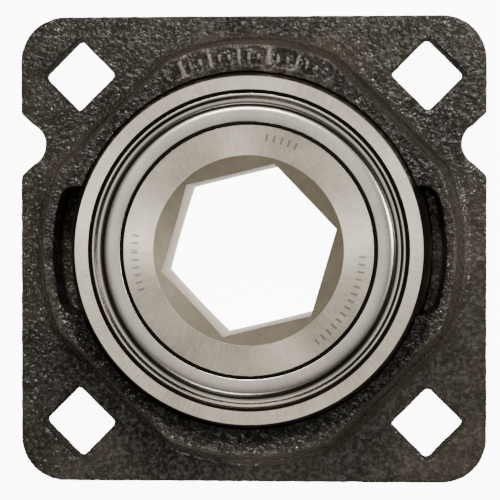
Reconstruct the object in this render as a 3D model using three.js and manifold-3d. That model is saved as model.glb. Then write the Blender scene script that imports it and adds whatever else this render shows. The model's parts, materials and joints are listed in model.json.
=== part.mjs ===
// Flange mount bearing: a sealed, self-aligning ball bearing with a hexagonal bore, held in the
// spherical seat of a square cast flange that bolts down through four square holes.
//
// Lengths are millimetres. The shaft axis is Z. The origin lies on it, in the flange's flat
// mounting face, and +Z points out of the front, the side with the raised boss.
import * as THREE from "three";
import { mergeVertices } from "three/addons/utils/BufferGeometryUtils.js";
import Module from "manifold-3d";

const wasm = await Module();
wasm.setup();

// ---- Rolling bearing ----
const SPHERE_D = 90; // spherical outside of the outer ring
const RING_WIDTH = 30.18; // both rings
const OUTER_WALL = 3.5; // outer ring, from the bottom of its raceway to the sphere
const BALL_D = 12.7;
const BALL_COUNT = 10;
const BALL_PLAY = 0.15; // between a ball and either raceway
const RACE_CONFORMITY = 1.06; // raceway's curve radius over the ball's
const OUTER_SHOULDER = 2.4; // how far each raceway's shoulders rise from its bottom
const INNER_SHOULDER = 2;
const RING_CHAMFER = 0.4;

// ---- Hexagonal bore ----
const HEX_ACROSS_FLATS = 38.1;
const HEX_TURN = THREE.MathUtils.degToRad(13.6); // a corner of the hexagon, from +X, at rest
const HEX_LEAD = 1.2; // the lead-in's mouth, out from the hexagon's corners
const HEX_LEAD_ANGLE = THREE.MathUtils.degToRad(40); // its slope, from the ring's face

// ---- Cage: two pressed halves riveted together between the balls ----
const CAGE_SHEET = 0.8;
const CAGE_RIM = 5.2; // radial width of the strip
const POCKET_PLAY = 0.35; // between a ball and its pocket
const HALF_GAP = 0.2; // between the two halves where they meet
const RIVET_D = 1.8;
const RIVET_HEAD_D = 3.6;
const RIVET_HEAD_HEIGHT = 0.7;
const RIVET_PLAY = 0.2; // round the shank, and under each head

// ---- Seals, one at each side: steel shield, rubber lip and steel backing washer ----
const GROOVE_DEPTH = 1.2; // outer ring's seal groove, out from its bore
const GROOVE_WIDTH = 1.6;
const GROOVE_LIP = 0.9; // ring's face to the groove
const SEAL_PLAY = 0.15; // between the layers of a seal, and round them in the groove
const BACKING_SHEET = 0.4;
const SHIELD_SHEET = 0.6;
const BEAD_CLEARANCE = 0.9; // outer ring's bore to the shield's raised bead
const BEAD_WIDTH = 0.7;
const BEAD_RISE = 1.1;
const TROUGH_WIDTH = 2; // shield: sunken floor inside the bead
const RISER_WIDTH = 0.8; // shield: slope from that floor up to the raised middle
const MIDDLE_DROP = 0.2; // shield: raised middle, below the ring's face
const SHIELD_GAP = 0.9; // between the shield's edge and the inner ring
const LIP_PLAY = 0.2; // between the lip and the inner ring
const LIP_WIDTH = 2.9;
const LIP_RISE = 1; // lip: height of its edge over its root

// ---- Cast flange ----
const FLANGE_THICKNESS = 9.5;
const FLANGE_EDGE = 0.7; // the casting's broken edges
const FLANGE_CORNER_R = 11.5;
const BOLT_SQUARE = 13.5; // side of a square hole, set corner-wise
const BOLT_TO_BOSS = 5.77; // metal between a hole and the boss's foot
const BOLT_TO_EDGE = 15.05; // centre of a hole to the flange's edge
const BOLT_SQUARE_CORNER_R = 1.2;
const NOTCH_R = 5.4; // round notches in the two side edges
const NOTCH_INSET = 0.9; // their centres, inside the edge
const NOTCH_FLARE = 1.7; // their mouths, wider than the round part at each side
const NOTCH_WRAP = THREE.MathUtils.degToRad(65); // round part, each way from its deepest point
const NOTCH_TO_TOP = 32.8; // centre of a notch, below the +Y edge
const BEARING_STANDOFF = 1.1; // rings' rear faces above the mounting face
const SEAT_PLAY = 0.3; // between the outer ring's sphere and its seat
const BOSS_HEIGHT = 19; // above the flange's front face
const SEAT_CHAMFER = 0.6;
const BOSS_WALL_ROUND = 6.1; // boss face: its round stretches, out from the sphere
const BOSS_WALL_FLAT = 2.4; // boss face: its four flats beside the bolts, out from the sphere
const BOSS_DRAFT = THREE.MathUtils.degToRad(8.8);
const SLOT_REACH = 2.9; // loading slots, out from the sphere
const SLOT_PLAY = 0.6; // their width over that of the bearing, which goes in edge-on
const SLOT_CORNER_R = 3.5;
const SLOT_BELOW = 1; // their floors, below the sphere's centre
const PAD_HEIGHT = 0.5; // plain raised panel on the boss face, above the bore
const PAD_MARGIN = 0.8; // panel, from the boss's edge and from the seat's
const PAD_HALF_ANGLE = THREE.MathUtils.degToRad(24);

// ---- What follows from them ----
const sphereR = SPHERE_D / 2;
const ballR = BALL_D / 2;
const outerRaceR = sphereR - OUTER_WALL;
const pitchR = outerRaceR - BALL_PLAY - ballR;
const innerRaceR = pitchR - ballR - BALL_PLAY;
const raceCurveR = ballR * RACE_CONFORMITY;
const outerBoreR = outerRaceR - OUTER_SHOULDER;
const innerRingR = innerRaceR + INNER_SHOULDER;
const ringHalf = RING_WIDTH / 2;
const pocketR = ballR + POCKET_PLAY;
const cageTop = pocketR + CAGE_SHEET;
const grooveR = outerBoreR + GROOVE_DEPTH;
const grooveTop = ringHalf - GROOVE_LIP;
const grooveFloor = grooveTop - GROOVE_WIDTH;
const hexCornerR = HEX_ACROSS_FLATS / Math.sqrt(3);
const centreZ = BEARING_STANDOFF + ringHalf; // centre of the sphere
const seatR = sphereR + SEAT_PLAY;
const bossTop = FLANGE_THICKNESS + BOSS_HEIGHT;
const bossRoundR = sphereR + BOSS_WALL_ROUND;
const bossFootFlat = sphereR + BOSS_WALL_FLAT + BOSS_HEIGHT * Math.tan(BOSS_DRAFT);
const boltSpacing = Math.SQRT2 * (bossFootFlat + BOLT_TO_BOSS + BOLT_SQUARE / 2);
const flangeHalf = boltSpacing / 2 + BOLT_TO_EDGE;
const notchY = flangeHalf - NOTCH_TO_TOP;
const seatMouthR = Math.sqrt(seatR ** 2 - (bossTop - centreZ) ** 2);

const TURN_SEGMENTS = 48;
const HIDDEN_SEGMENTS = 32; // for what the rings and shields hide
const BALL_SEGMENTS = 12;
const RIVET_SEGMENTS = 6;
const FILLET_SEGMENTS = 6;
const CUT_OVERRUN = 2; // how far a cutting tool runs past what it cuts

// ---- Materials ----
function finish(color, roughness, metalness) {
  return new THREE.MeshStandardMaterial({ color, roughness, metalness });
}
const castingPaint = finish(0x26241f, 0.5, 0.1);
const groundSteel = finish(0xc4bcb0, 0.3, 1);
const pressedSteel = finish(0xb3aca0, 0.35, 1);
const cageSteel = finish(0xa09a90, 0.45, 1);
const ballSteel = finish(0xd8d8da, 0.1, 1);
const sealRubber = finish(0x17171a, 0.7, 0);

// ---- Shapes ----
// A solid of revolution about Z, from [radius, z] pairs in order up its outside. The outline
// closes on itself, or starts and ends on the axis.
function turned(pairs, segments = TURN_SEGMENTS) {
  const onAxis = pairs[0][0] === 0;
  const outline = onAxis ? pairs : [...pairs, pairs[0]];
  const points = outline.map(([radius, z]) => new THREE.Vector2(radius, z));
  return new THREE.LatheGeometry(points, segments).rotateX(Math.PI / 2);
}

// [radius, z] pairs along an arc about the point (centreR, z 0), from one angle to another.
function arcPairs(centreR, radius, from, to, steps) {
  return Array.from({ length: steps + 1 }, (_, i) => {
    const angle = from + ((to - from) * i) / steps;
    return [centreR + radius * Math.cos(angle), radius * Math.sin(angle)];
  });
}

// The frustum between two heights that narrows upwards by the boss's draft, to topR across its
// sides: a cone, or a pyramid with four flats that face between the X and Y axes.
function drafted(topR, z0, z1, sides) {
  const height = z1 - z0;
  const lowR = topR + height * Math.tan(BOSS_DRAFT);
  const toCorner = sides === 4 ? Math.SQRT2 : 1;
  return new THREE.CylinderGeometry(topR * toCorner, lowR * toCorner, height, sides)
    .rotateX(Math.PI / 2)
    .translate(0, 0, (z0 + z1) / 2);
}

function extruded(outline, depth, z0) {
  const settings = { depth, bevelEnabled: false, curveSegments: FILLET_SEGMENTS };
  return new THREE.ExtrudeGeometry(outline, settings).translate(0, 0, z0);
}

// A geometry's closed surface as a solid that can be cut and joined.
function solidOf(geometry) {
  const bare = geometry.clone();
  bare.deleteAttribute("normal");
  bare.deleteAttribute("uv");
  const merged = mergeVertices(bare, 1e-4);
  return new wasm.Manifold(
    new wasm.Mesh({
      numProp: 3,
      vertProperties: merged.attributes.position.array,
      triVerts: new Uint32Array(merged.index.array),
    }),
  );
}

function geometryOf(solid) {
  const made = solid.getMesh();
  const geometry = new THREE.BufferGeometry()
    .setAttribute("position", new THREE.BufferAttribute(made.vertProperties, 3))
    .setIndex(new THREE.BufferAttribute(made.triVerts, 1))
    .toNonIndexed();
  geometry.computeVertexNormals();
  return geometry;
}

function named(name, geometry, material) {
  const mesh = new THREE.Mesh(geometry, material);
  mesh.name = name;
  return mesh;
}

// ---- Cast flange ----
// A square hole with round corners, turned so that its corners point along X and Y.
function boltHole(x, y) {
  const path = new THREE.Path();
  const reach = (BOLT_SQUARE / 2 - BOLT_SQUARE_CORNER_R) * Math.SQRT2;
  for (let quarter = 0; quarter < 4; quarter++) {
    const angle = (quarter * Math.PI) / 2;
    const cornerX = x + reach * Math.cos(angle);
    const cornerY = y + reach * Math.sin(angle);
    path.absarc(cornerX, cornerY, BOLT_SQUARE_CORNER_R, angle - Math.PI / 4, angle + Math.PI / 4);
  }
  return path;
}

function flangePlate() {
  const half = flangeHalf;
  const inner = half - FLANGE_CORNER_R;
  const notchX = half - NOTCH_INSET;
  const mouth = NOTCH_R + NOTCH_FLARE;
  const quarter = Math.PI / 2;
  const outline = new THREE.Shape();
  outline.absarc(inner, -inner, FLANGE_CORNER_R, -quarter, 0);
  outline.lineTo(half, notchY - mouth);
  outline.absarc(notchX, notchY, NOTCH_R, Math.PI + NOTCH_WRAP, Math.PI - NOTCH_WRAP, true);
  outline.lineTo(half, notchY + mouth);
  outline.absarc(inner, inner, FLANGE_CORNER_R, 0, quarter);
  outline.absarc(-inner, inner, FLANGE_CORNER_R, quarter, 2 * quarter);
  outline.lineTo(-half, notchY + mouth);
  outline.absarc(-notchX, notchY, NOTCH_R, NOTCH_WRAP, -NOTCH_WRAP, true);
  outline.lineTo(-half, notchY - mouth);
  outline.absarc(-inner, -inner, FLANGE_CORNER_R, 2 * quarter, 3 * quarter);
  for (const x of [-boltSpacing / 2, boltSpacing / 2])
    for (const y of [-boltSpacing / 2, boltSpacing / 2]) outline.holes.push(boltHole(x, y));
  return new THREE.ExtrudeGeometry(outline, {
    depth: FLANGE_THICKNESS - 2 * FLANGE_EDGE,
    bevelThickness: FLANGE_EDGE,
    bevelSize: FLANGE_EDGE,
    bevelOffset: -FLANGE_EDGE,
    bevelSegments: 1,
    curveSegments: FILLET_SEGMENTS,
  }).translate(0, 0, FLANGE_EDGE);
}

// The spherical seat, open at both ends, with a chamfer at each mouth.
function seatCutter() {
  const rearZ = SEAT_CHAMFER - centreZ;
  const frontZ = bossTop - centreZ - SEAT_CHAMFER;
  const zone = arcPairs(0, seatR, Math.asin(rearZ / seatR), Math.asin(frontZ / seatR), 6);
  const rearR = zone[0][0] + CUT_OVERRUN;
  const frontR = zone[zone.length - 1][0] + CUT_OVERRUN;
  return turned([
    [0, rearZ - CUT_OVERRUN],
    [rearR, rearZ - CUT_OVERRUN],
    ...zone,
    [frontR, frontZ + CUT_OVERRUN],
    [0, frontZ + CUT_OVERRUN],
  ]).translate(0, 0, centreZ);
}

// Two slots in the seat's front half, through which the bearing goes in edge-on.
function slotCutter() {
  const halfWidth = (RING_WIDTH + SLOT_PLAY) / 2;
  const reach = sphereR + SLOT_REACH;
  const cornerY = halfWidth - SLOT_CORNER_R;
  const cornerX = Math.sqrt((reach - SLOT_CORNER_R) ** 2 - cornerY ** 2);
  const turn = Math.atan2(cornerY, cornerX);
  const outline = new THREE.Shape();
  for (const facing of [0, Math.PI]) {
    const side = Math.cos(facing);
    const right = facing - Math.PI / 2;
    outline.absarc(side * cornerX, -side * cornerY, SLOT_CORNER_R, right, facing - turn);
    outline.absarc(0, 0, reach, facing - turn, facing + turn);
    outline.absarc(side * cornerX, side * cornerY, SLOT_CORNER_R, facing + turn, right + Math.PI);
  }
  const floorZ = centreZ - SLOT_BELOW;
  return extruded(outline, bossTop + PAD_HEIGHT + CUT_OVERRUN - floorZ, floorZ);
}

// The raised panel on the boss face, a stretch of a ring with round ends above the bore.
function pad() {
  const outsideR = bossRoundR - PAD_MARGIN;
  const insideR = seatMouthR + PAD_MARGIN;
  const middleR = (outsideR + insideR) / 2;
  const endR = (outsideR - insideR) / 2;
  const from = Math.PI / 2 - PAD_HALF_ANGLE;
  const to = Math.PI / 2 + PAD_HALF_ANGLE;
  const outline = new THREE.Shape();
  outline.absarc(0, 0, outsideR, from, to);
  outline.absarc(middleR * Math.cos(to), middleR * Math.sin(to), endR, to, to + Math.PI);
  outline.absarc(0, 0, insideR, to, from, true);
  outline.absarc(middleR * Math.cos(from), middleR * Math.sin(from), endR, from - Math.PI, from);
  return extruded(outline, 2 * PAD_HEIGHT, bossTop - PAD_HEIGHT);
}

function housing() {
  const foot = FLANGE_THICKNESS / 2;
  const cone = solidOf(drafted(bossRoundR, foot, bossTop, TURN_SEGMENTS));
  const pyramid = solidOf(drafted(sphereR + BOSS_WALL_FLAT, foot, bossTop, 4));
  const casting = solidOf(flangePlate())
    .add(cone.intersect(pyramid))
    .add(solidOf(pad()))
    .subtract(solidOf(seatCutter()))
    .subtract(solidOf(slotCutter()));
  return named("housing", geometryOf(casting), castingPaint);
}

// ---- Rings, modelled about the sphere's centre ----
function outerRing() {
  const faceR = Math.sqrt(sphereR ** 2 - ringHalf ** 2) - RING_CHAMFER;
  const edge = Math.asin((ringHalf - RING_CHAMFER) / sphereR);
  const raceAngle = Math.acos((raceCurveR - OUTER_SHOULDER) / raceCurveR);
  return named(
    "outer_ring",
    turned([
      [faceR, -ringHalf],
      ...arcPairs(0, sphereR, -edge, edge, 4),
      [faceR, ringHalf],
      [outerBoreR, ringHalf],
      [outerBoreR, grooveTop],
      [grooveR, grooveTop],
      [grooveR, grooveFloor],
      [outerBoreR, grooveFloor],
      ...arcPairs(outerRaceR - raceCurveR, raceCurveR, raceAngle, -raceAngle, 6),
      [outerBoreR, -grooveFloor],
      [grooveR, -grooveFloor],
      [grooveR, -grooveTop],
      [outerBoreR, -grooveTop],
      [outerBoreR, -ringHalf],
    ]),
    groundSteel,
  );
}

// The hexagonal hole with a conical lead-in at each end.
function boreCutter() {
  const length = 2 * (ringHalf + CUT_OVERRUN);
  const hexagon = new THREE.CylinderGeometry(hexCornerR, hexCornerR, length, 6).rotateX(Math.PI / 2);
  const slope = Math.tan(HEX_LEAD_ANGLE);
  const mouthR = hexCornerR + HEX_LEAD;
  const waistR = HEX_ACROSS_FLATS / 4; // well inside the hexagon, so the cones end in the open
  const waistZ = ringHalf - (mouthR - waistR) * slope;
  const overrunR = mouthR + CUT_OVERRUN / slope;
  const leads = turned([
    [0, -ringHalf - CUT_OVERRUN],
    [overrunR, -ringHalf - CUT_OVERRUN],
    [waistR, -waistZ],
    [waistR, waistZ],
    [overrunR, ringHalf + CUT_OVERRUN],
    [0, ringHalf + CUT_OVERRUN],
  ]);
  return solidOf(hexagon).add(solidOf(leads));
}

function innerRing() {
  const raceAngle = Math.acos((raceCurveR - INNER_SHOULDER) / raceCurveR);
  const curveCentreR = innerRaceR + raceCurveR;
  const blank = turned([
    [0, -ringHalf],
    [innerRingR - RING_CHAMFER, -ringHalf],
    [innerRingR, RING_CHAMFER - ringHalf],
    ...arcPairs(curveCentreR, raceCurveR, Math.PI + raceAngle, Math.PI - raceAngle, 6),
    [innerRingR, ringHalf - RING_CHAMFER],
    [innerRingR - RING_CHAMFER, ringHalf],
    [0, ringHalf],
  ]);
  const ring = named("inner_ring", geometryOf(solidOf(blank).subtract(boreCutter())), groundSteel);
  ring.rotation.z = HEX_TURN - Math.PI / 2; // the six-sided tool's first corner is on +Y
  return ring;
}

// ---- Balls, cage and rivets, each modelled at the centre of a ball or a rivet ----
function ball(name) {
  const sphere = new THREE.SphereGeometry(ballR, BALL_SEGMENTS, BALL_SEGMENTS - 4);
  return named(name, sphere.rotateX(Math.PI / 2), ballSteel);
}

function rivet(name) {
  const underHead = HALF_GAP / 2 + CAGE_SHEET + RIVET_PLAY / 2;
  const headTop = underHead + RIVET_HEAD_HEIGHT;
  const outline = [
    [0, -headTop],
    [RIVET_D / 2, -headTop],
    [RIVET_HEAD_D / 2, -underHead],
    [RIVET_D / 2, -underHead],
    [RIVET_D / 2, underHead],
    [RIVET_HEAD_D / 2, underHead],
    [RIVET_D / 2, headTop],
    [0, headTop],
  ];
  return named(name, turned(outline, RIVET_SEGMENTS), cageSteel);
}

// The front half of the cage: a flat strip with a domed pocket over each ball.
function cageHalf(name) {
  const sides = 2 * BALL_COUNT;
  const low = HALF_GAP / 2;
  const insideR = pitchR - CAGE_RIM / 2;
  const outsideR = pitchR + CAGE_RIM / 2;
  const band = (top) => [
    [insideR, low],
    [outsideR, low],
    [outsideR, top],
    [insideR, top],
  ];
  const dome = (radius) =>
    solidOf(new THREE.SphereGeometry(radius, BALL_SEGMENTS, BALL_SEGMENTS - 4).rotateX(Math.PI / 2));
  const holeR = RIVET_D / 2 + RIVET_PLAY;
  const holeDepth = 2 * (low + CAGE_SHEET + CUT_OVERRUN);
  const hole = solidOf(
    new THREE.CylinderGeometry(holeR, holeR, holeDepth, RIVET_SEGMENTS).rotateX(Math.PI / 2),
  );
  const around = (solid, offset) =>
    Array.from({ length: BALL_COUNT }, (_, i) =>
      solid.translate([pitchR, 0, 0]).rotate([0, 0, ((i + offset) * 360) / BALL_COUNT]),
    );
  const tall = solidOf(turned(band(cageTop + CUT_OVERRUN), sides));
  let half = solidOf(turned(band(low + CAGE_SHEET), sides));
  for (const shell of around(dome(cageTop), 0)) half = half.add(shell.intersect(tall));
  for (const pocket of around(dome(pocketR), 0)) half = half.subtract(pocket);
  for (const shank of around(hole, 0.5)) half = half.subtract(shank);
  return named(name, geometryOf(half), cageSteel);
}

// ---- Seals, modelled for the front ----
const backingLow = grooveFloor + SEAL_PLAY;
const shieldLow = backingLow + BACKING_SHEET + SEAL_PLAY;
const sealR = grooveR - SEAL_PLAY;
const middleR = outerBoreR - BEAD_CLEARANCE - BEAD_WIDTH - TROUGH_WIDTH - RISER_WIDTH;

function sealShield(name) {
  const floor = shieldLow + SHIELD_SHEET;
  const beadTop = floor + BEAD_RISE;
  const beadR = outerBoreR - BEAD_CLEARANCE;
  const troughR = beadR - BEAD_WIDTH;
  const riserR = troughR - TROUGH_WIDTH;
  const middleTop = ringHalf - MIDDLE_DROP;
  const edgeR = innerRingR + SHIELD_GAP;
  const outline = [
    [sealR, shieldLow],
    [sealR, floor],
    [beadR, floor],
    [beadR, beadTop],
    [troughR, beadTop],
    [troughR - BEAD_WIDTH / 2, floor],
    [riserR, floor],
    [middleR, middleTop],
    [edgeR, middleTop],
    [edgeR, middleTop - SHIELD_SHEET],
    [middleR, middleTop - SHIELD_SHEET],
    [riserR, shieldLow],
  ];
  return named(name, turned(outline), pressedSteel);
}

function sealLip(name) {
  const insideR = innerRingR + LIP_PLAY;
  const rootTop = ringHalf - MIDDLE_DROP - SHIELD_SHEET - SEAL_PLAY;
  const edgeR = innerRingR + SHIELD_GAP - SEAL_PLAY;
  const outline = [
    [insideR, shieldLow],
    [insideR + LIP_WIDTH, shieldLow],
    [insideR + LIP_WIDTH, rootTop],
    [edgeR, rootTop],
    [insideR + LIP_PLAY, rootTop + LIP_RISE / 2],
    [insideR, rootTop],
  ];
  return named(name, turned(outline, HIDDEN_SEGMENTS), sealRubber);
}

function sealBacking(name) {
  const insideR = innerRingR + 3 * LIP_PLAY;
  const outline = [
    [insideR, backingLow],
    [sealR, backingLow],
    [sealR, backingLow + BACKING_SHEET],
    [insideR, backingLow + BACKING_SHEET],
  ];
  return named(name, turned(outline, HIDDEN_SEGMENTS), pressedSteel);
}

// ---- Assembly ----
function aroundPitch(mesh, step) {
  const angle = (step * 2 * Math.PI) / BALL_COUNT;
  mesh.position.set(pitchR * Math.cos(angle), pitchR * Math.sin(angle), 0);
  mesh.rotation.z = angle;
  return mesh;
}

function facingBack(mesh) {
  mesh.rotation.x = Math.PI;
  return mesh;
}

const bearing = new THREE.Group();
bearing.name = "bearing";
bearing.position.z = centreZ;
bearing.add(outerRing());
bearing.add(innerRing());
for (let i = 0; i < BALL_COUNT; i++) {
  const number = String(i + 1).padStart(2, "0");
  bearing.add(aroundPitch(ball(`ball_${number}`), i));
  bearing.add(aroundPitch(rivet(`cage_rivet_${number}`), i + 0.5));
}
bearing.add(cageHalf("front_cage_half"));
bearing.add(facingBack(cageHalf("rear_cage_half")));
bearing.add(sealShield("front_seal_shield"));
bearing.add(sealLip("front_seal_lip"));
bearing.add(sealBacking("front_seal_backing"));
bearing.add(facingBack(sealShield("rear_seal_shield")));
bearing.add(facingBack(sealLip("rear_seal_lip")));
bearing.add(facingBack(sealBacking("rear_seal_backing")));

const part = new THREE.Group();
part.name = "flange_mount_bearing";
part.add(housing());
part.add(bearing);

export default part;
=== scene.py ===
"""Looks of a flange mount bearing: a square casting that holds a sealed ball bearing with a hex bore.

Sizes are millimetres and become metres as each mesh is made. The shaft axis is Z, the origin lies on it
in the casting's flat back, and +Z points out of the front. A finished piece keeps its place in its mesh.
"""

import json
import logging
import math
from dataclasses import dataclass
from enum import Enum

import bpy
from mathutils import Matrix, Vector

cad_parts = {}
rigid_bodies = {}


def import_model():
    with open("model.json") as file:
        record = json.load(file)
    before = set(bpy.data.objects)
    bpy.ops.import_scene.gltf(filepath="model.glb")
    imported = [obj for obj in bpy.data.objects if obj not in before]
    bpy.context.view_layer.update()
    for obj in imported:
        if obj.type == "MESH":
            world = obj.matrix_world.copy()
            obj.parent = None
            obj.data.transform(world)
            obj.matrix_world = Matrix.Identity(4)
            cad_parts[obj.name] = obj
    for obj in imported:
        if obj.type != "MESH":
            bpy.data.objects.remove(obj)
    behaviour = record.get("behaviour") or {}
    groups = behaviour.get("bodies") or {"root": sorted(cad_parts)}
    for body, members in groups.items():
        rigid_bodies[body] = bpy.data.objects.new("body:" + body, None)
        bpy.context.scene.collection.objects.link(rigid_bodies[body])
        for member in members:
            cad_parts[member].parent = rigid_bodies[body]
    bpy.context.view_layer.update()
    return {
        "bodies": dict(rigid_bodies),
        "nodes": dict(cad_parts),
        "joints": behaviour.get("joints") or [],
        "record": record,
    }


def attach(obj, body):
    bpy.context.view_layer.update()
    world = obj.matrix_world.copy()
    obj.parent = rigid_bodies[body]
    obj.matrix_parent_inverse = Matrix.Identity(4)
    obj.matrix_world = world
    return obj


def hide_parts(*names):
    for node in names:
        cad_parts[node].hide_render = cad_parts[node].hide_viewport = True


MM = 0.001
MOST_FACES = 190000
log = logging.getLogger("bearing")

Point = tuple[float, float]
Spot = tuple[float, float, float]
Colour = tuple[float, float, float, float]
Socket = bpy.types.NodeSocket
Piece = bpy.types.Object


# ---- Modelling ----


class Join(Enum):
    """How two solids are combined."""

    UNION = "UNION"
    CUT = "DIFFERENCE"
    COMMON = "INTERSECT"


def clear_selection() -> None:
    """Deselects every object, in object mode."""
    if bpy.context.object and bpy.context.object.mode != "OBJECT":
        bpy.ops.object.mode_set(mode="OBJECT")
    bpy.ops.object.select_all(action="DESELECT")


def pick(piece: Piece) -> None:
    """Makes one object the only one selected, and the active one.

    Args:
        piece: The object.
    """
    clear_selection()
    piece.select_set(True)
    bpy.context.view_layer.objects.active = piece


def settle(piece: Piece, name: str) -> Piece:
    """Names a piece and puts its place into its mesh.

    Args:
        piece: The object, at its place.
        name: Its new name.

    Returns:
        The same object, at the origin.
    """
    piece.name = name
    piece.data.name = name
    pick(piece)
    bpy.ops.object.transform_apply(location=True, rotation=True, scale=True)
    return piece


def apply_modifier(piece: Piece, kind: str, **settings: object) -> None:
    """Adds one modifier and applies it.

    Args:
        piece: The object that is changed.
        kind: The modifier's type.
        **settings: Its properties.
    """
    pick(piece)
    modifier = piece.modifiers.new(kind.title(), kind)
    for key, value in settings.items():
        setattr(modifier, key, value)
    bpy.ops.object.modifier_apply(modifier=modifier.name)


def combine(piece: Piece, tool: Piece, how: Join) -> None:
    """Joins or cuts a piece with a tool, and removes the tool.

    Args:
        piece: The solid that is kept.
        tool: The solid that is used up.
        how: Union, cut or common part.
    """
    apply_modifier(piece, "BOOLEAN", operation=how.value, object=tool, solver="EXACT")
    bpy.data.objects.remove(tool, do_unlink=True)


def trace(points: list[Point], flat: bool) -> None:
    """Starts an object as a wire through points, closed, and stays in edit mode with it selected.

    Args:
        points: Outline in millimetres.
        flat: True for an outline of X and Y at height 0, False for one of radius and Z.
    """
    clear_selection()
    bpy.ops.mesh.primitive_plane_add(size=MM)
    bpy.ops.object.mode_set(mode="EDIT")
    bpy.ops.mesh.select_all(action="SELECT")
    bpy.ops.mesh.merge(type="CENTER")
    place = [Vector((a, b, 0)) * MM if flat else Vector((a, 0, b)) * MM for a, b in points]
    bpy.ops.transform.translate(value=place[0])
    for here, there in zip(place, place[1:] + place[:1]):
        bpy.ops.mesh.extrude_vertices_move(TRANSFORM_OT_translate={"value": there - here})
    bpy.ops.mesh.select_all(action="SELECT")
    bpy.ops.mesh.remove_doubles(threshold=1e-7)


def prism(outline: list[Point], low: float, high: float) -> Piece:
    """Raises a flat outline into a solid.

    Args:
        outline: X and Y, in order round the shape.
        low: Height of its lower face.
        high: Height of its upper face.

    Returns:
        The solid.
    """
    trace(outline, flat=True)
    bpy.ops.mesh.edge_face_add()
    bpy.ops.transform.translate(value=(0, 0, low * MM))
    bpy.ops.mesh.extrude_region_move(TRANSFORM_OT_translate={"value": (0, 0, (high - low) * MM)})
    bpy.ops.mesh.select_all(action="SELECT")
    bpy.ops.mesh.normals_make_consistent(inside=False)
    bpy.ops.object.mode_set(mode="OBJECT")
    return bpy.context.object


def turned(
    name: str, outline: list[Point], lift: float, steps: int = 256, round_mm: float = 0.0
) -> Piece:
    """Spins an outline round the shaft axis.

    Args:
        name: The new piece's name.
        outline: Radius and Z, in order round the section.
        lift: How far the section is raised.
        steps: Sides of the turned shape.
        round_mm: Rounding of every corner of the section.

    Returns:
        The closed solid.
    """
    trace(outline, flat=False)
    if round_mm:
        bpy.ops.mesh.bevel(affect="VERTICES", offset=round_mm * MM, segments=3, clamp_overlap=True)
        bpy.ops.mesh.select_all(action="SELECT")
    bpy.ops.transform.translate(value=(0, 0, lift * MM))
    bpy.ops.mesh.spin(steps=steps, angle=2 * math.pi, center=(0, 0, 0), axis=(0, 0, 1))
    bpy.ops.mesh.select_all(action="SELECT")
    bpy.ops.mesh.remove_doubles(threshold=2e-6)
    bpy.ops.mesh.normals_make_consistent(inside=False)
    bpy.ops.object.mode_set(mode="OBJECT")
    return settle(bpy.context.object, name)


def smooth(piece: Piece, angle: float) -> None:
    """Shades a machined piece: smooth below an angle, with its flat faces kept flat.

    Args:
        piece: The piece.
        angle: The sharpest angle that is smoothed, in degrees.
    """
    pick(piece)
    bpy.ops.object.shade_smooth_by_angle(angle=math.radians(angle))
    apply_modifier(piece, "WEIGHTED_NORMAL", mode="FACE_AREA", weight=100, keep_sharp=True)


def arc(cx: float, cy: float, radius: float, start: float, stop: float, steps: int) -> list[Point]:
    """Points along an arc.

    Args:
        cx: First coordinate of its centre.
        cy: Second coordinate of its centre.
        radius: Its radius.
        start: First angle, in degrees.
        stop: Last angle, in degrees.
        steps: Number of stretches.

    Returns:
        The points, ends included.
    """
    turns = [math.radians(start + (stop - start) * i / steps) for i in range(steps + 1)]
    return [(cx + radius * math.cos(t), cy + radius * math.sin(t)) for t in turns]


def mirrored(outline: list[Point]) -> list[Point]:
    """The same section for the other side of the bearing, in the same order."""
    return [(radius, -z) for radius, z in outline]


# ---- Materials ----


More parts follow.
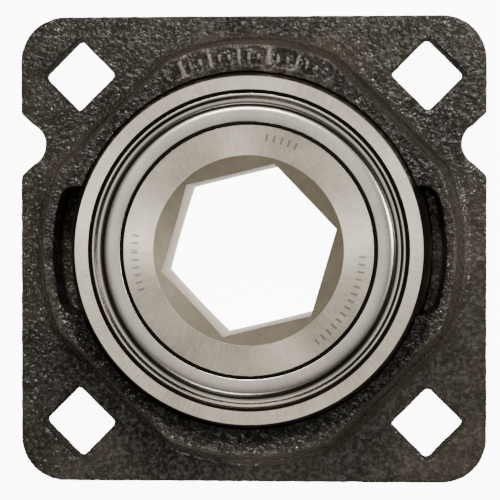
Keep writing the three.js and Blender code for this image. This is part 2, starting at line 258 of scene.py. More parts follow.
class Recipe:
    """A material's node graph, added to one node at a time."""

    def __init__(self, name: str) -> None:
        """Starts the material with its Principled shader.

        Args:
            name: The material's name.
        """
        self.material = bpy.data.materials.new(name)
        self.material.use_nodes = True
        self.nodes = self.material.node_tree.nodes
        self.shader = self.nodes["Principled BSDF"]
        spot = self.add("TexCoord").outputs
        self.place, self.facing = spot["Object"], spot["Normal"]

    def add(self, kind: str, sockets: dict | None = None, **settings: object) -> bpy.types.Node:
        """Adds a node.

        Args:
            kind: Its type, without the ShaderNode prefix.
            sockets: Inputs by name or number, each a value or another node's output.
            **settings: Its properties.

        Returns:
            The node.
        """
        node = self.nodes.new("ShaderNode" + kind)
        for key, value in settings.items():
            setattr(node, key, value)
        for key, value in (sockets or {}).items():
            self.feed(node, key, value)
        return node

    def feed(self, node: bpy.types.Node, key: str | int, value: object) -> None:
        """Sets one input to a value, or links another node's output to it.

        Args:
            node: The node.
            key: The input's name or number.
            value: A value, or another node's output.
        """
        if isinstance(value, Socket):
            self.material.node_tree.links.new(value, node.inputs[key])
        else:
            node.inputs[key].default_value = value

    def math(self, operation: str, first: object, second: object = 0.0) -> Socket:
        """One step of arithmetic, as an output socket."""
        return self.add("Math", {0: first, 1: second}, operation=operation).outputs[0]

    def noise(
        self, scale: float, detail: float = 3.0, rough: float = 0.5, at: object = None
    ) -> Socket:
        """Noise between 0 and 1.

        Args:
            scale: Cells in a metre.
            detail: Octaves.
            rough: Weight of the finer octaves.
            at: Coordinates, or None for the piece's own.

        Returns:
            Its output.
        """
        sockets = {"Vector": at or self.place, "Scale": scale, "Detail": detail, "Roughness": rough}
        return self.add("TexNoise", sockets).outputs[0]

    def ramp(self, factor: object, stops: list[tuple[float, Colour]]) -> Socket:
        """Colours spread along a factor.

        Args:
            factor: What picks the colour.
            stops: Position and colour of each stop.

        Returns:
            The colour.
        """
        node = self.add("ValToRGB", {0: factor})
        while len(node.color_ramp.elements) < len(stops):
            node.color_ramp.elements.new(0.5)
        for element, (position, colour) in zip(node.color_ramp.elements, stops):
            element.position = position
            element.color = colour
        return node.outputs[0]

    def span(self, value: object, low: float, high: float, out_low: float, out_high: float) -> Socket:
        """A value moved from one range to another, held at its ends."""
        sockets = {0: value, 1: low, 2: high, 3: out_low, 4: out_high}
        return self.add("MapRange", sockets).outputs[0]

    def blend(self, factor: object, first: object, second: object) -> Socket:
        """Two colours mixed.

        Args:
            factor: How much of the second shows.
            first: One colour.
            second: The other.

        Returns:
            The colour.
        """
        node = self.add("Mix", data_type="RGBA")
        self.feed(node, 0, factor)
        self.feed(node, 6, first)
        self.feed(node, 7, second)
        return node.outputs[2]

    def bump(self, height: object, depth: float, strength: float = 1.0, over: object = None) -> Socket:
        """A relief in the surface's shading.

        Args:
            height: Relief between 0 and 1.
            depth: Its depth, in millimetres.
            strength: How much of it shows.
            over: A relief that this one lies on.

        Returns:
            The changed normal.
        """
        sockets = {"Height": height, "Distance": depth * MM, "Strength": strength}
        if over is not None:
            sockets["Normal"] = over
        return self.add("Bump", sockets).outputs[0]

    def upright(self, least: float, most: float) -> Socket:
        """1 on a wall, 0 on a face across the shaft, by how far its normal points along the shaft."""
        along = self.add("SeparateXYZ", {0: self.facing}).outputs[2]
        return self.span(self.math("ABSOLUTE", along), least, most, 1.0, 0.0)

    def polar(self) -> tuple[Socket, Socket, Socket]:
        """The place by the shaft's measures.

        Returns:
            Distance from the shaft axis, angle round it and height.
        """
        split = self.add("SeparateXYZ", {0: self.place}).outputs
        flat = self.add("CombineXYZ", {0: split[0], 1: split[1]}).outputs[0]
        radius = self.add("VectorMath", {0: flat}, operation="LENGTH").outputs["Value"]
        angle = self.math("ARCTAN2", split[1], split[0])
        return radius, angle, split[2]

    def finish(self, **sockets: object) -> bpy.types.Material:
        """Feeds the shader.

        Args:
            **sockets: Its inputs, with _ for a space.

        Returns:
            The material.
        """
        for key, value in sockets.items():
            self.feed(self.shader, key.replace("_", " "), value)
        return self.material


def grey(level: float, warmth: float = 0.0) -> Colour:
    """A grey, a little yellower as warmth rises."""
    return (level, level * (1 - 0.35 * warmth), level * (1 - warmth), 1.0)


@dataclass(frozen=True)
class CastPaint:
    """Black paint over rough sand-cast iron. Its scales are cells in a metre."""

    plate_top: float
    boss_top: float
    dark: Colour = (0.0215, 0.0175, 0.0120, 1)
    light: Colour = (0.054, 0.0445, 0.0315, 1)
    worn: Colour = (0.052, 0.043, 0.031, 1)
    # Near-black of the painted shade on the walls and round the bearing.
    painted_shade: Colour = (0.0045, 0.0038, 0.0028, 1)
    bare: Colour = (0.26, 0.225, 0.18, 1)
    gloss: float = 0.23
    ring_shade_r: float = 48.5
    pebbles: float = 820.0
    grains: float = 1750.0
    relief: float = 0.42
    orange_peel: float = 0.05

    def material(self) -> bpy.types.Material:
        """Builds the paint.

        Returns:
            The material.
        """
        mix = Recipe("casting_paint")
        height = mix.math("MULTIPLY", self.grit(mix), self.thinness(mix))
        relief = mix.bump(height, self.relief)
        relief = mix.bump(mix.noise(3600, 2, 0.6), self.orange_peel, 0.6, relief)
        ring_shade = self.ring_shade(mix)
        colour = mix.ramp(mix.noise(60, 4, 0.6), [(0.36, self.dark), (0.66, self.light)])
        colour = mix.blend(mix.span(height, 0.95, 1.35, 0.0, 0.6), colour, self.worn)
        # Painted shade: steep walls are blended towards near-black, the more upright the darker.
        colour = mix.blend(mix.math("MULTIPLY", mix.upright(0.25, 0.65), 0.75), colour, self.painted_shade)
        # Painted shade on the boss's face round the bearing, heavier low down.
        colour = mix.blend(ring_shade, colour, self.painted_shade)
        colour = mix.blend(self.rubbed(mix), colour, self.bare)
        rough = mix.span(mix.noise(150, 3, 0.6), 0.3, 0.7, self.gloss - 0.05, self.gloss + 0.13)
        shine = mix.span(mix.noise(900, 3, 0.7), 0.42, 0.66, 0.06, 0.95)
        shine = mix.math("MULTIPLY", shine, mix.span(ring_shade, 0.5, 1.0, 1.0, 0.35))
        return mix.finish(Base_Color=colour, Roughness=rough, Normal=relief, Specular_IOR_Level=shine)

    def grit(self, mix: Recipe) -> Socket:
        """The relief of the sand: pebbles, finer grains and broad lumps.

        Args:
            mix: The graph that is added to.

        Returns:
            Its height.
        """
        shift = mix.add("TexNoise", {"Vector": mix.place, "Scale": 300.0, "Detail": 2.0}).outputs["Color"]
        shift = mix.add("VectorMath", {0: shift, 3: 0.9 * MM}, operation="SCALE").outputs[0]
        warp = mix.add("VectorMath", {0: mix.place, 1: shift}, operation="ADD").outputs[0]
        height = mix.math("MULTIPLY", mix.noise(420, 3, 0.6), 0.45)
        for scale, share in ((self.pebbles, 0.8), (self.grains, 0.4)):
            cells = mix.add("TexVoronoi", {"Vector": warp, "Scale": scale}, feature="F1").outputs[0]
            height = mix.math("ADD", height, mix.span(cells, 0.0, 0.75, share, 0.0))
        return height

    def ring_shade(self, mix: Recipe) -> Socket:
        """Painted shade on the boss's face close round the bearing, heaviest low down.

        Args:
            mix: The graph that is added to.

        Returns:
            0 where no shade is painted, up to 0.95.
        """
        uneven = mix.math("MULTIPLY", mix.noise(120, 3, 0.6), 3 * MM)
        reach = mix.math("SUBTRACT", mix.polar()[0], uneven)
        near = mix.span(reach, (self.ring_shade_r - 3.5) * MM, self.ring_shade_r * MM, 0.95, 0.0)
        spot = mix.add("SeparateXYZ", {0: mix.place}).outputs
        near = mix.math("MULTIPLY", near, mix.math("GREATER_THAN", spot[2], (self.boss_top - 3) * MM))
        return mix.math("MULTIPLY", near, mix.span(spot[1], -20 * MM, 20 * MM, 1.0, 0.5))

    def rubbed(self, mix: Recipe) -> Socket:
        """How much of the paint is worn off the details that stand above the boss's face.

        Args:
            mix: The graph that is added to.

        Returns:
            0 where it is whole, up to 0.85.
        """
        level = mix.polar()[2]
        for noise, depth in ((mix.noise(230, 2, 0.5), 1.6), (mix.noise(1300, 3, 0.7), 1.1)):
            uneven = mix.math("MULTIPLY", mix.math("SUBTRACT", noise, 0.5), depth * MM)
            level = mix.math("ADD", level, uneven)
        return mix.span(level, (self.boss_top + 0.30) * MM, (self.boss_top + 0.65) * MM, 0.0, 0.85)

    def thinness(self, mix: Recipe) -> Socket:
        """How much of the grain shows: less where the paint ran together, low down and to the right.

        Args:
            mix: The graph that is added to.

        Returns:
            0.24 where it ran together, 1 where the grain is open, as on the whole boss.
        """
        spot = mix.add("SeparateXYZ", {0: mix.place}).outputs
        down = mix.math("SUBTRACT", spot[1], mix.math("MULTIPLY", spot[0], 0.7))
        patch = mix.math("ADD", down, mix.math("MULTIPLY", mix.noise(45, 2, 0.5), 0.05))
        thin = mix.span(patch, -0.03, 0.06, 0.24, 1.0)
        raised = mix.span(spot[2], self.plate_top * MM, (self.plate_top + 10) * MM, 0.0, 1.0)
        return mix.math("MAXIMUM", thin, raised)


class Lay(Enum):
    """Which way a tool left its marks."""

    ROUND = "round"
    CROSS = "cross"


@dataclass(frozen=True)
class Steel:
    """Bare steel with the fine lines of its last machining.

    Each band of painted shade is its middle radius, its half-width and its strength.
    """

    name: str
    colour: Colour
    rough: float
    lay: Lay = Lay.ROUND
    lines: float = 0.012
    stain: float = 0.12
    grain: float = 0.45
    # Bands of painted shade by radius, in grooves and gaps, and their near-black colour.
    shade_bands: tuple[tuple[float, float, float], ...] = ()
    shade_band_colour: Colour = (0.012, 0.010, 0.008, 1)

    def material(self) -> bpy.types.Material:
        """Builds the steel.

        Returns:
            The material.
        """
        mix = Recipe(self.name)
        relief, streaks = self.lines_relief(mix)
        colour = self.shaded_grooves(mix, self.mottled(mix, streaks))
        self.brush(mix)
        return mix.finish(Base_Color=colour, Roughness=self.fine(mix, streaks), Normal=relief, Metallic=1.0)

    def brush(self, mix: Recipe) -> None:
        """Draws highlights out along the machining, round the shaft."""
        around = mix.add("Tangent", direction_type="RADIAL", axis="Z").outputs[0]
        mix.finish(Anisotropic=self.grain, Tangent=around)

    def fine(self, mix: Recipe, streaks: Socket) -> Socket:
        """The roughness, a little uneven along the machining lines."""
        return mix.span(streaks, 0.3, 0.7, self.rough - 0.05, self.rough + 0.07)

    def mottled(self, mix: Recipe, streaks: Socket) -> Socket:
        """The steel's colour, uneven both broadly and along its machining lines.

        Args:
            mix: The graph that is added to.
            streaks: The machining lines.

        Returns:
            The colour.
        """
        broad = mix.math("MULTIPLY", mix.noise(70, 4, 0.6), 0.5)
        specks = mix.math("MULTIPLY", mix.noise(900, 3, 0.7), 0.2)
        close = mix.math("ADD", mix.math("MULTIPLY", streaks, 0.3), specks)
        darker = tuple(c * (1 - self.stain * 3) for c in self.colour[:3]) + (1.0,)
        return mix.blend(mix.span(mix.math("ADD", broad, close), 0.42, 0.58, 0.0, 1.0), self.colour, darker)

    def shaded_grooves(self, mix: Recipe, colour: Socket) -> Socket:
        """Painted shade in the piece's grooves, gaps and valleys, as dark bands by radius.

        Args:
            mix: The graph that is added to.
            colour: The clean colour.

        Returns:
            The colour with the painted shade over it.
        """
        radius = mix.polar()[0]
        for middle, half, strength in self.shade_bands:
            off = mix.math("ABSOLUTE", mix.math("SUBTRACT", radius, middle * MM))
            there = mix.span(off, half * 0.75 * MM, half * 1.15 * MM, strength, 0.0)
            colour = mix.blend(there, colour, self.shade_band_colour)
        return colour

    def lines_relief(self, mix: Recipe) -> tuple[Socket, Socket]:
        """Fine lines round the shaft axis or across it.

        Args:
            mix: The graph that is added to.

        Returns:
            The relief's normal, and the streaks that made it.
        """
        radius, angle, height = mix.polar()
        around, across = (2.5, 5200.0) if self.lay is Lay.ROUND else (120.0, 260.0)
        spread = {0: mix.math("MULTIPLY", radius, across), 1: mix.math("MULTIPLY", angle, around)}
        spread[2] = mix.math("MULTIPLY", height, across)
        streaks = mix.noise(1.0, 4, 0.6, mix.add("CombineXYZ", spread).outputs[0])
        return mix.bump(streaks, self.lines, 0.5), streaks


@dataclass(frozen=True, kw_only=True)
class BoredSteel(Steel):
    """Ground steel whose bore and lead-in are left dull, with plain tick marks pressed into the face.

    A row of ticks is its middle and half its length, both in degrees round the shaft.
    """

    lead_r: float
    middle: float
    bore_dark: Colour = (0.30, 0.262, 0.195, 1)
    bore_light: Colour = (0.40, 0.35, 0.262, 1)
    broached: Colour = (0.30, 0.27, 0.215, 1)
    tick_colour: Colour = (0.22, 0.20, 0.17, 1)
    tick_r: float = 27.7
    tick_half: float = 0.85
    tick_rate: float = 15.0
    tick_share: float = 0.28
    tick_rows: tuple[Point, ...] = ((74, 9), (186, 15), (-28, 26))

    def material(self) -> bpy.types.Material:
        """Builds the steel.

        Returns:
            The material.
        """
        mix = Recipe(self.name)
        relief, streaks = self.lines_relief(mix)
        radius = mix.polar()[0]
        inside = mix.span(radius, (self.lead_r - 0.12) * MM, (self.lead_r + 0.02) * MM, 1.0, 0.0)
        blotch = mix.noise(260, 5, 0.65)
        ticks = self.ticks(mix)
        colour = mix.blend(mix.math("MULTIPLY", ticks, 0.75), self.mottled(mix, streaks), self.tick_colour)
        dull = mix.ramp(blotch, [(0.3, self.bore_dark), (0.72, self.bore_light)])
        colour = mix.blend(inside, colour, dull)
        bore = mix.math("LESS_THAN", radius, self.lead_r * MM)
        wall = mix.math("MULTIPLY", mix.upright(0.1, 0.3), bore)
        colour = mix.blend(wall, colour, self.broached)
        dulled = mix.math("MAXIMUM", mix.math("MULTIPLY", wall, 0.8), mix.math("MULTIPLY", bore, 0.4))
        rough = mix.math("ADD", self.fine(mix, streaks), mix.math("MULTIPLY", inside, 0.22))
        relief = mix.bump(mix.math("SUBTRACT", 1.0, ticks), 0.08, 1.0, relief)
        relief = mix.bump(mix.math("MULTIPLY", blotch, inside), 0.10, 0.6, relief)
        self.brush(mix)
        metal = mix.math("SUBTRACT", 1.0, dulled)
        return mix.finish(Base_Color=colour, Roughness=rough, Normal=relief, Metallic=metal)

    def ticks(self, mix: Recipe) -> Socket:
        """Rows of plain ticks in the front face.

        Args:
            mix: The graph that is added to.

        Returns:
            1 on a tick and 0 beside it.
        """
        radius, angle, height = mix.polar()
        off = mix.math("ABSOLUTE", mix.math("SUBTRACT", radius, self.tick_r * MM))
        wave = mix.math("FRACT", mix.math("MULTIPLY", angle, self.tick_rate))
        rows = 0.0
        for centre, half in self.tick_rows:
            near = mix.math("COSINE", mix.math("SUBTRACT", angle, math.radians(centre)))
            row = mix.math("GREATER_THAN", near, math.cos(math.radians(half)))
            rows = mix.math("MAXIMUM", rows, row)
        marks = mix.math("MULTIPLY", rows, mix.math("LESS_THAN", off, self.tick_half * MM))
        marks = mix.math("MULTIPLY", marks, mix.math("LESS_THAN", wave, self.tick_share))
        return mix.math("MULTIPLY", marks, mix.math("GREATER_THAN", height, self.middle * MM))


@dataclass(frozen=True)
class Rubber:
    """Black seal rubber."""

    def material(self) -> bpy.types.Material:
        """Builds the rubber.

        Returns:
            The material.
        """
        mix = Recipe("seal_rubber")
        cloud = mix.noise(900, 4, 0.6)
        colour = mix.ramp(cloud, [(0.3, (0.004, 0.0035, 0.003, 1)), (0.8, (0.010, 0.009, 0.008, 1))])
        relief = mix.bump(cloud, 0.02, 0.5)
        return mix.finish(Base_Color=colour, Roughness=0.62, Normal=relief, Specular_IOR_Level=0.12)


def dress(piece: Piece, material: bpy.types.Material) -> None:
    """Gives a piece its only material.

    Args:
        piece: The piece.
        material: Its material.
    """
    piece.data.materials.clear()
    piece.data.materials.append(material)


# ---- Sub-assemblies ----


@dataclass
class Bearing:
    """Sizes that the bearing's pieces share."""

    sphere_r: float = 45.0
    half: float = 15.09
    centre: float = 16.19
    bore_r: float = 39.1
    race_r: float = 41.5
    race_curve: float = 6.731
    groove_r: float = 40.3
    groove_low: float = 12.59
    groove_high: float = 14.19
    inner_r: float = 30.5
    inner_race_r: float = 28.5


@dataclass
class Casting:
    """The square flange with its boss, seat, loading slots, bolt holes and edge notches."""

    bearing: Bearing
    side: float = 119.0
    corner_r: float = 11.5
    plate: float = 9.5
    boss_top: float = 28.5
    boss_r: float = 50.6
    boss_flat: float = 46.9
    draft: float = 10.3
    underside: float = 0.15
    bolt: float = 44.45
    bolt_square: float = 13.1
    notch_y: float = 26.7
    notch_r: float = 5.4
    notch_in: float = 0.9
    notch_wrap: float = 65.0
    lip_r: float = 1.5
    lip_turn: float = 62.0
    lip_apart: float = 3.1
    seat_play: float = 0.12
    slot_half: float = 15.4
    slot_reach: float = 47.9
    slot_corner: float = 3.5
    panel_in: float = 44.7
    panel_out: float = 50.0
    panel_reach: float = 23.0
    panel_frame: float = 0.6
    panel_height: float = 0.55
    panel_floor: float = 0.1
    bar_r: float = 47.3
    bar_turn: float = 2.9
    bar_width: float = 1.05
    rim: float = 0.4
    rim_in: float = 0.05
    rim_width: float = 0.8
    bead_height: float = 0.8
    bead_out: float = 0.75
    voxel: float = 0.46
    grit: float = 0.20

    def outline(self) -> list[Point]:
        """The plate's edge, with its corners and notches.

        Returns:
            The points, anticlockwise from the lower right corner.
        """
        half, inner = self.side / 2, self.side / 2 - self.corner_r
        lip_y = self.notch_y - self.notch_r - self.lip_apart
        lip = arc(half - self.lip_r, lip_y, self.lip_r, 0, self.lip_turn, 5)
        lower = lip + arc(half - self.notch_in, self.notch_y, self.notch_r, self.notch_wrap - 180, -180, 10)
        right = lower + [(x, 2 * self.notch_y - y) for x, y in reversed(lower[:-1])]
        left = [(-x, y) for x, y in reversed(right)]
        points = arc(inner, -inner, self.corner_r, -90, 0, 14) + right
        points += arc(inner, inner, self.corner_r, 0, 90, 14)
        points += arc(-inner, inner, self.corner_r, 90, 180, 14) + left
        return points + arc(-inner, -inner, self.corner_r, 180, 270, 14)

    def drafted(self, low: float, high: float, inset: float) -> Piece:
        """A slice of the boss, round with four flats, narrowing upwards.

        Args:
            low: Its lower height.
            high: Its upper height.
            inset: How far its wall lies inside the boss's.

        Returns:
            The solid.
        """
        slope = math.tan(math.radians(self.draft))
        solids = []
        for sides, face in ((192, self.boss_r), (4, self.boss_flat)):
            across = [face - inset + (self.boss_top - z) * slope for z in (low, high)]
            corner = math.sqrt(2) if sides == 4 else 1
            clear_selection()
            bpy.ops.mesh.primitive_cone_add(
                vertices=sides,
                radius1=across[0] * corner * MM,
                radius2=across[1] * corner * MM,
                depth=(high - low) * MM,
                location=(0, 0, (low + high) / 2 * MM),
            )
            solids.append(bpy.context.object)
        combine(solids[0], solids[1], Join.COMMON)
        return solids[0]

    def boss(self) -> Piece:
        """The boss with the thin rim round its face and the bead at its foot.

        Returns:
            The solid.
        """
        boss = self.drafted(self.plate / 2, self.boss_top, 0)
        rim = self.drafted(self.boss_top - 1, self.boss_top + self.rim, self.rim_in)
        hollow = self.drafted(self.boss_top - 2, self.boss_top + 2, self.rim_in + self.rim_width)
        combine(rim, hollow, Join.CUT)
        combine(boss, rim, Join.UNION)
        bead = self.drafted(self.plate - 1, self.plate + self.bead_height, -self.bead_out)
        combine(boss, bead, Join.UNION)
        return boss

    def slots(self) -> Piece:
        """The two loading slots.

        Returns:
            One cutting tool for both.
        """
        reach, corner = self.slot_reach, self.slot_corner
        y = self.slot_half - corner
        x = math.sqrt((reach - corner) ** 2 - y**2)
        turn = math.degrees(math.atan2(y, x))
        side = arc(x, -y, corner, -90, -turn, 8) + arc(0, 0, reach, -turn, turn, 24)
        side += arc(x, y, corner, turn, 90, 8)
        points = side + [(-a, -b) for a, b in side]
        return prism(points, self.bearing.centre - 1, self.boss_top + 5)

    def ring_stretch(self, inner: float, outer: float, reach: float, low: float, high: float) -> Piece:
        """A stretch of a ring with round ends, centred above the bore.

        Args:
            inner: Its inner radius.
            outer: Its outer radius.
            reach: Half its angle, in degrees.
            low: Its lower height.
            high: Its upper height.

        Returns:
            The solid.
        """
        middle, end = (outer + inner) / 2, (outer - inner) / 2
        start, stop = 90 - reach, 90 + reach
        left, right = math.radians(stop), math.radians(start)
        points = arc(0, 0, outer, start, stop, 32)
        points += arc(middle * math.cos(left), middle * math.sin(left), end, stop, stop + 180, 10)[1:-1]
        points += arc(0, 0, inner, stop, start, 32)
        points += arc(middle * math.cos(right), middle * math.sin(right), end, start - 180, start, 10)[1:-1]
        return prism(points, low, high)

    def pad(self) -> Piece:
        """The framed panel above the bore, with a plain row of raised bars in it.

        Returns:
            The solid.
        """
        top, frame = self.boss_top, self.panel_frame
        outside = (self.panel_in, self.panel_out, self.panel_reach)
        pad = self.ring_stretch(*outside, top - 1, top + self.panel_height)
        inset = (self.panel_in + frame, self.panel_out - frame, self.panel_reach - 0.4)
        combine(pad, self.ring_stretch(*inset, top + self.panel_floor, top + 2), Join.CUT)
        for step in range(-7, 8):
            tall = (2.2, 2.9, 1.6)[step % 3]
            turn = math.radians(self.bar_turn * step)
            at = Vector((-self.bar_r * math.sin(turn), self.bar_r * math.cos(turn), top + 0.2)) * MM
            size = Vector((self.bar_width, tall, 1.5)) * MM
            clear_selection()
            bpy.ops.mesh.primitive_cube_add(size=1, location=at, rotation=(0, 0, turn), scale=size)
            combine(pad, bpy.context.object, Join.UNION)
        return pad

    def bolt_hole(self, x: float, y: float) -> Piece:
        """One square hole, corner-wise.

        Args:
            x: Its centre's X.
            y: Its centre's Y.

        Returns:
            The cutting tool.
        """
        corner_r = 0.8
        reach = (self.bolt_square / 2 - corner_r) * math.sqrt(2)
        points = []
        for turn in (0, 90, 180, 270):
            way = math.radians(turn)
            cx, cy = x + reach * math.cos(way), y + reach * math.sin(way)
            points += arc(cx, cy, corner_r, turn - 45, turn + 45, 6)
        return prism(points, -2, self.plate + 2)

    def build(self) -> Piece:
        """Models the casting and gives it its cast surface.

        Returns:
            The piece.
        """
        body = prism(self.outline(), self.underside, self.plate)
        combine(body, self.boss(), Join.UNION)
        combine(body, self.pad(), Join.UNION)
        for x in (-self.bolt, self.bolt):
            for y in (-self.bolt, self.bolt):
                combine(body, self.bolt_hole(x, y), Join.CUT)
        clear_selection()
        seat_r = self.bearing.sphere_r + self.seat_play
        seat_at = (0, 0, self.bearing.centre * MM)
        bpy.ops.mesh.primitive_uv_sphere_add(
            segments=160, ring_count=80, radius=seat_r * MM, location=seat_at
        )
        combine(body, bpy.context.object, Join.CUT)
        combine(body, self.slots(), Join.CUT)
        apply_modifier(body, "REMESH", mode="VOXEL", voxel_size=self.voxel * MM, adaptivity=0.0)
        apply_modifier(body, "SMOOTH", factor=0.5, iterations=2)
        self.roughen(body)
        faces = 2 * len(body.data.polygons)
        apply_modifier(body, "DECIMATE", ratio=min(1.0, MOST_FACES / faces))
        settle(body, "housing_casting")
        bpy.ops.object.shade_smooth()
        paint = CastPaint(plate_top=self.plate + 1.5, boss_top=self.boss_top)
        dress(body, paint.material())
        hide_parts("housing")
        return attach(body, "casting")

    def roughen(self, body: Piece) -> None:
        """Presses a sand-cast unevenness into the mesh, inwards only.

        Args:
            body: The casting.
        """
        for scale, depth in ((4.0, self.grit), (1.5, self.grit)):
            clouds = bpy.data.textures.new(f"sand_{scale}", "CLOUDS")
            clouds.noise_scale = scale * MM
            clouds.noise_depth = 2
            apply_modifier(body, "DISPLACE", texture=clouds, strength=depth * MM, mid_level=1.0)


@dataclass
class Rings:
    """The outer and inner rings."""

    bearing: Bearing
    hex_flats: float = 38.1
    hex_turn: float = 13.6
    hex_round: float = 0.35
    lead_r: float = 23.2
    lead_slope: float = 40.0
    core_r: float = 12.0
    edge: float = 0.12

    def outer(self) -> Piece:
        """Models the outer ring with its raceway and seal grooves.

        Returns:
            The piece.
        """
        b = self.bearing
        face_r = math.sqrt(b.sphere_r**2 - b.half**2)
        edge = math.degrees(math.asin((b.half - 0.1) / b.sphere_r))
        swing = math.degrees(math.acos((b.race_curve - (b.race_r - b.bore_r)) / b.race_curve))
        side = [(face_r - 0.06, b.half), (b.bore_r + 0.05, b.half), (b.bore_r, b.half - 0.05)]
        side += [(b.bore_r, b.groove_high), (b.groove_r, b.groove_high), (b.groove_r, b.groove_low)]
        side += [(b.bore_r, b.groove_low)]
        race = arc(b.race_r - b.race_curve, 0, b.race_curve, swing, -swing, 24)
        section = arc(0, 0, b.sphere_r, -edge, edge, 40) + side + race + mirrored(side)[::-1]
        ring = turned("outer_ring_steel", section, b.centre, 288)
        smooth(ring, 20)
        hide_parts("outer_ring")
        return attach(ring, "outer_race")

    def inner(self) -> Piece:
        """Models the inner ring with its raceway and hexagonal bore.

        Returns:
            The piece.
        """
        b = self.bearing
        swing = math.degrees(math.acos((b.race_curve - (b.inner_r - b.inner_race_r)) / b.race_curve))
        race = arc(b.inner_race_r + b.race_curve, 0, b.race_curve, 180 - swing, 180 + swing, 24)
        top = [(self.core_r, b.half), (b.inner_r - self.edge, b.half), (b.inner_r, b.half - self.edge)]
        section = top + race + mirrored(top)[::-1]
        ring = turned("inner_ring_steel", section, b.centre, 288)
        reach = self.hex_flats / math.sqrt(3) - self.hex_round / math.cos(math.radians(30))
        points = []
        for side in range(6):
            turn = 60 * side + self.hex_turn
            x, y = reach * math.cos(math.radians(turn)), reach * math.sin(math.radians(turn))
            points += arc(x, y, self.hex_round, turn - 30, turn + 30, 5)
        combine(ring, prism(points, -3, 2 * b.centre + 3), Join.CUT)
        slope = math.tan(math.radians(self.lead_slope))
        for way in (1, -1):
            tip, base = way * (b.half - self.lead_r * slope), way * (b.half + 2)
            cone = [(0, tip), (self.lead_r + 2 / slope, base), (0, base)]
            combine(ring, turned("lead", cone, b.centre, 288), Join.CUT)
        settle(ring, "inner_ring_steel")
        smooth(ring, 20)
        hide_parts("inner_ring")
        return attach(ring, "inner_race")

    def build(self) -> list[Piece]:
        """Models and dresses both rings.

        Returns:
            The two pieces.
        """
        outer, inner = self.outer(), self.inner()
        # The outer ring's dark band at 38.97 mm is painted shade, the shadowed gap at its lip's edge.
        ground = Steel(
            "outer_ring_ground", (0.95, 0.85, 0.69, 1), 0.33, Lay.CROSS,
            lines=0.020, stain=0.10, grain=0.70, shade_bands=((38.97, 0.1, 0.9),),
        )
        bored = BoredSteel(
            name="inner_ring_ground", colour=(0.80, 0.715, 0.575, 1), rough=0.36, lay=Lay.CROSS,
            lines=0.016, stain=0.10, grain=0.86, lead_r=self.lead_r, middle=self.bearing.centre,
        )
        dress(outer, ground.material())
        dress(inner, bored.material())
        return [outer, inner]


@dataclass
class Seals:
    """At each side a pressed shield, a rubber lip and a backing washer."""

    bearing: Bearing

    def shield_section(self) -> list[Point]:
        """The shield's section, for the front.

        Returns:
            Radius and height over the bearing's middle: a rolled bead, a valley and a raised middle.
        """
        top = [(40.15, 13.89), (38.75, 13.89), (38.45, 13.98), (38.24, 14.25), (38.2, 14.75)]
        top += [(38.1, 14.93), (37.88, 14.99), (37.66, 14.93), (37.5, 14.7), (37.36, 14.25)]
        top += [(37.1, 13.98), (36.8, 13.9)]
        top += [(36.3, 13.93), (35.9, 13.98), (35.62, 14.08), (35.4, 14.22), (35.15, 14.42), (34.85, 14.6)]
        top += [(34.5, 14.73), (34.1, 14.82), (33.6, 14.875), (33.0, 14.89), (31.6, 14.88), (31.4, 14.74)]
        under = [(31.4, 14.29), (34.1, 14.29), (34.7, 14.1), (35.2, 13.6), (35.7, 13.29), (40.15, 13.29)]
        return top + under

    def lip_section(self) -> list[Point]:
        """The lip's section, for the front."""
        outer = [(30.7, 13.29), (33.7, 13.29), (33.7, 14.1)]
        return outer + [(31.3, 14.14), (31.1, 14.5), (30.85, 14.62), (30.7, 14.2)]

    def backing_section(self) -> list[Point]:
        """The backing washer's section, for the front."""
        return [(31.1, 12.74), (40.15, 12.74), (40.15, 13.14), (31.1, 13.14)]

    def build(self) -> list[Piece]:
        """Models and dresses both sides' seals.

        Returns:
            The six pieces.
        """
        # Painted shade: dark bands in the gap at the shield's rim and in its valley between bead and
        # middle.
        shade_bands = ((39.2, 0.95, 1.0), (37.2, 0.3, 0.88), (35.7, 0.6, 0.95), (36.4, 0.3, 0.4))
        shield = Steel("shield_pressed", (0.74, 0.675, 0.57, 1), 0.27, lines=0.006, stain=0.08, shade_bands=shade_bands)
        washer = Steel("backing_pressed", (0.55, 0.52, 0.47, 1), 0.40, lines=0.010, stain=0.15)
        pressed, plain = shield.material(), washer.material()
        rubber = Rubber().material()
        kinds = (
            ("seal_shield", self.shield_section(), pressed, "pressed_steel", 0.0),
            ("seal_lip", self.lip_section(), rubber, "seal_rubber", 0.12),
            ("seal_backing", self.backing_section(), plain, "pressed_steel", 0.06),
        )
        pieces = []
        for side in ("front", "rear"):
            for kind, section, material, slot, soft in kinds:
                shape = section if side == "front" else mirrored(section)
                piece = turned(f"{side}_{kind}_made", shape, self.bearing.centre, 256, soft)
                smooth(piece, 35)
                dress(piece, material)
                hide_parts(f"{side}_{kind}")
                pieces.append(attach(piece, "outer_race"))
        return pieces


@dataclass
class Inside:
    """The balls, cage and rivets, which the seals hide."""

    frame: dict

    def build(self) -> list[Piece]:
        """Dresses the frame's own balls, cage halves and rivets.

        Returns:
            The pieces.
        """
        ball = Steel("ball_polished", (0.82, 0.82, 0.83, 1), 0.12, Lay.CROSS, lines=0.001, stain=0.02)
        cage = Steel("cage_pressed", (0.52, 0.50, 0.46, 1), 0.42, Lay.CROSS, lines=0.010, stain=0.15)
        polished, pressed = ball.material(), cage.material()
        pieces = []
        for name, node in sorted(self.frame["nodes"].items()):
            if name.startswith("ball_") or "cage" in name:
                node.data.materials.clear()
                node.data.materials.append(polished if name.startswith("ball_") else pressed)
                pieces.append(node)
        return pieces


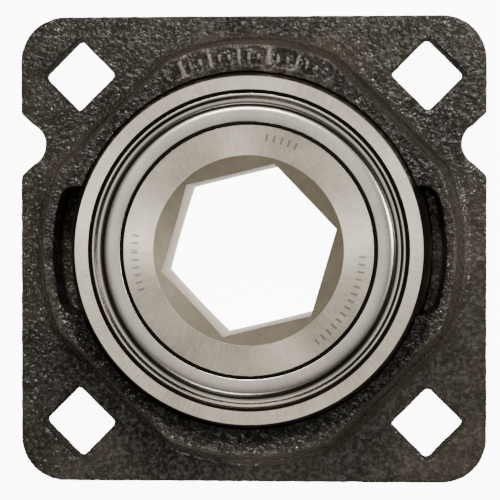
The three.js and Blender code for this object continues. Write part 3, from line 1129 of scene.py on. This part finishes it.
@dataclass
class Studio:
    """Camera, lights, sky and floor."""

    eye: Spot = (22.2, 6.6, 471.5)
    aim: Spot = (-0.65, -0.18, 9.5)
    lens: float = 130.9
    lean: Spot = (-0.14, 0.17, 1.0)
    sky_levels: tuple[Point, ...] = ((0.0, 0.07), (0.55, 0.09), (0.86, 0.45), (0.955, 0.80), (1.0, 1.25))

    def camera(self) -> None:
        """Adds the camera, with the object's +Y up in the picture."""
        data = bpy.data.cameras.new("camera")
        data.lens = self.lens
        data.sensor_width = 36.0
        data.clip_start, data.clip_end = 0.01, 10.0
        camera = bpy.data.objects.new("camera", data)
        bpy.context.scene.collection.objects.link(camera)
        eye, aim = Vector(self.eye) * MM, Vector(self.aim) * MM
        back = (eye - aim).normalized()
        right = Vector((0, 1, 0)).cross(back).normalized()
        up = back.cross(right)
        camera.location = eye
        camera.rotation_mode = "QUATERNION"
        axes = Matrix((right, up, back)).transposed()
        camera.rotation_quaternion = axes.to_quaternion()
        bpy.context.scene.camera = camera

    def lamp(self, name: str, at: Spot, width: float, height: float, power: float) -> None:
        """Adds one soft lamp that faces the object.

        Args:
            name: Its name.
            at: Its place, in metres.
            width: Its width, in metres.
            height: Its height, in metres.
            power: Its power, in watts.
        """
        data = bpy.data.lights.new(name, "AREA")
        data.shape = "RECTANGLE"
        data.size, data.size_y = width, height
        data.energy = power
        lamp = bpy.data.objects.new(name, data)
        bpy.context.scene.collection.objects.link(lamp)
        lamp.location = at
        lamp.rotation_mode = "QUATERNION"
        lamp.rotation_quaternion = Vector(at).to_track_quat("Z", "Y")

    def floor(self) -> None:
        """Adds the pale floor, which glossy surfaces don't mirror."""
        clear_selection()
        bpy.ops.mesh.primitive_plane_add(size=6.0, location=(0, 0, -0.0002))
        floor = settle(bpy.context.object, "floor")
        mix = Recipe("floor_white")
        shade = mix.ramp(mix.noise(3, 2), [(0.0, grey(0.88)), (1.0, grey(0.92))])
        floor.data.materials.append(
            mix.finish(Base_Color=shade, Roughness=0.9, Emission_Color=(1, 1, 1, 1), Emission_Strength=10.0)
        )
        floor.visible_glossy = False

    def sky(self) -> None:
        """Adds the sky: brightest overhead and a little to one side, as under a hanging softbox."""
        world = bpy.data.worlds.new("sky")
        world.use_nodes = True
        nodes, links = world.node_tree.nodes, world.node_tree.links
        way = nodes.new("ShaderNodeTexCoord").outputs["Generated"]
        lean = nodes.new("ShaderNodeVectorMath")
        lean.operation = "DOT_PRODUCT"
        links.new(way, lean.inputs[0])
        lean.inputs[1].default_value = Vector(self.lean).normalized()
        ramp = nodes.new("ShaderNodeValToRGB")
        links.new(lean.outputs["Value"], ramp.inputs[0])
        while len(ramp.color_ramp.elements) < len(self.sky_levels):
            ramp.color_ramp.elements.new(0.5)
        for element, (position, level) in zip(ramp.color_ramp.elements, self.sky_levels):
            element.position = position
            element.color = (level, level * 0.985, level * 0.96, 1)
        back = nodes["Background"]
        links.new(ramp.outputs[0], back.inputs[0])
        back.inputs[1].default_value = 1.0
        bpy.context.scene.world = world

    def build(self) -> None:
        """Sets up the whole studio."""
        self.camera()
        self.floor()
        self.sky()
        self.lamp("key", (-0.06, 0.60, 0.70), 0.30, 0.12, 6.0)
        self.lamp("side", (0.75, 0.15, 0.45), 0.15, 0.35, 4.5)
        self.lamp("low", (-0.2, -0.8, 0.4), 0.35, 0.12, 1.4)


def main() -> None:
    """Builds the studio and the object."""
    logging.basicConfig(level=logging.INFO, format="%(name)s: %(message)s")
    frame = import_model()
    Studio().build()
    bearing = Bearing()
    made = [Casting(bearing).build()]
    made += Rings(bearing).build()
    made += Seals(bearing).build()
    made += Inside(frame).build()
    for piece in made:
        log.info("%s: %d faces", piece.name, len(piece.data.polygons))


if __name__ == "__main__":
    main()
